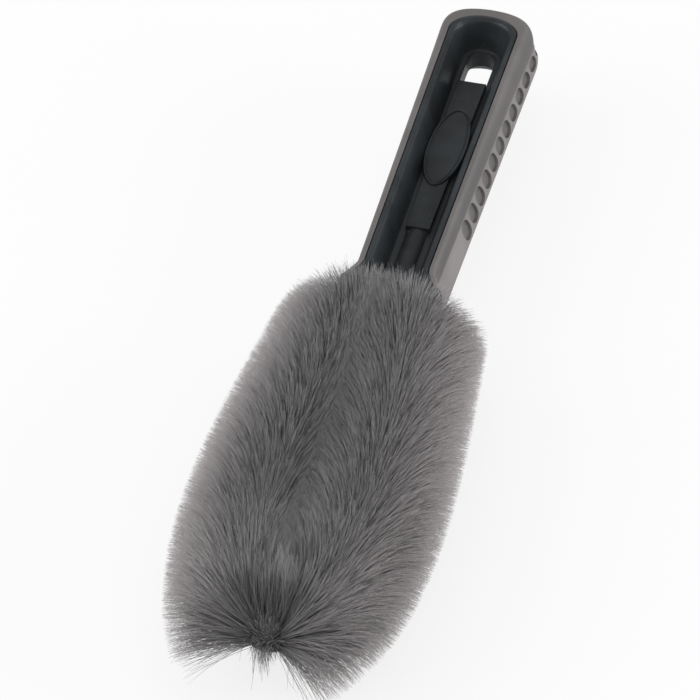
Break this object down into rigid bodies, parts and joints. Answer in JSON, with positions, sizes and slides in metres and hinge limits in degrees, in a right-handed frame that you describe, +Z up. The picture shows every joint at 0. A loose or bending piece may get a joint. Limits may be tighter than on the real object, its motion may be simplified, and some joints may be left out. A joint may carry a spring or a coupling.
{
  "type": "wheel brush",
  "caption": "Looped wheel brush with soft grey filaments on a twisted-wire loop and a scooped black handle with a grey grip band and a hang slot.",
  "frame": {"origin": "middle of the brush's footprint, on the surface that the filaments rest on", "axes": "+X along the brush from the handle's butt to the tip of the loop, +Y across it to the left, +Z up through the handle's channel"},
  "size_m": [0.3344, 0.0866, 0.0549],
  "materials": {
    "core_plastic": "moulded black polypropylene with a satin sheen and a fine texture",
    "grip_rubber": "soft-touch grey thermoplastic rubber, matt",
    "stem_steel": "drawn galvanised steel wire",
    "sheath_rubber": "black rubber sleeve",
    "filament": "grey synthetic filaments, paler and slightly see-through at their frayed ends"
  },
  "bodies": {
    "root": {"handle_core": "core_plastic", "grip_overmould": "grip_rubber", "stem_wire_a": "stem_steel", "stem_wire_b": "stem_steel", "tip_sheath": "sheath_rubber", "bristle_left_01": "filament", "bristle_left_02": "filament", "bristle_left_03": "filament", "bristle_left_04": "filament", "bristle_left_05": "filament", "bristle_left_06": "filament", "bristle_left_07": "filament", "bristle_left_08": "filament", "bristle_left_09": "filament", "bristle_left_10": "filament", "bristle_left_11": "filament", "bristle_left_12": "filament", "bristle_left_13": "filament", "bristle_left_14": "filament", "bristle_right_01": "filament", "bristle_right_02": "filament", "bristle_right_03": "filament", "bristle_right_04": "filament", "bristle_right_05": "filament", "bristle_right_06": "filament", "bristle_right_07": "filament", "bristle_right_08": "filament", "bristle_right_09": "filament", "bristle_right_10": "filament", "bristle_right_11": "filament", "bristle_right_12": "filament", "bristle_right_13": "filament", "bristle_right_14": "filament"}
  },
  "joints": []
}
